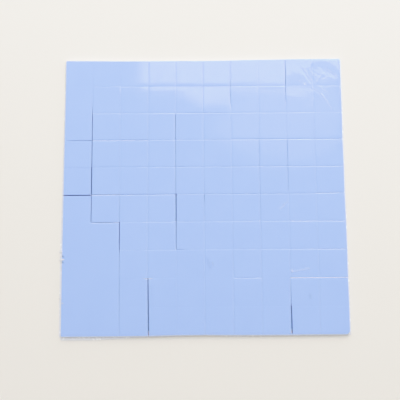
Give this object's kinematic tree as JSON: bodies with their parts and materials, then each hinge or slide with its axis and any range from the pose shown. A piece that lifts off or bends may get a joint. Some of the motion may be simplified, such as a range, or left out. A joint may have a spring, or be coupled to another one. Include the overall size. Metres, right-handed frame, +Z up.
{
  "type": "thermal pad sheet",
  "caption": "Flat square sheet of soft blue silicone thermal pads, kiss-cut in a grid together with a clear film, on a thin carrier liner.",
  "frame": {"origin": "middle of the sheet's underside, on the surface it lies on", "axes": "+Z up out of the film side; +X to the right along a row of pads; +Y from the bottom row to the top row"},
  "size_m": [0.1008, 0.1008, 0.0013],
  "materials": {
    "carrier_liner": "thin milky release film, satin",
    "blue_silicone": "soft filled silicone, pale blue, satin",
    "clear_film": "clear protective film, glossy, slightly wrinkled"
  },
  "bodies": {
    "root": {"carrier_liner": "carrier_liner", "pad_layer": "blue_silicone", "cover_film": "clear_film"}
  },
  "joints": []
}
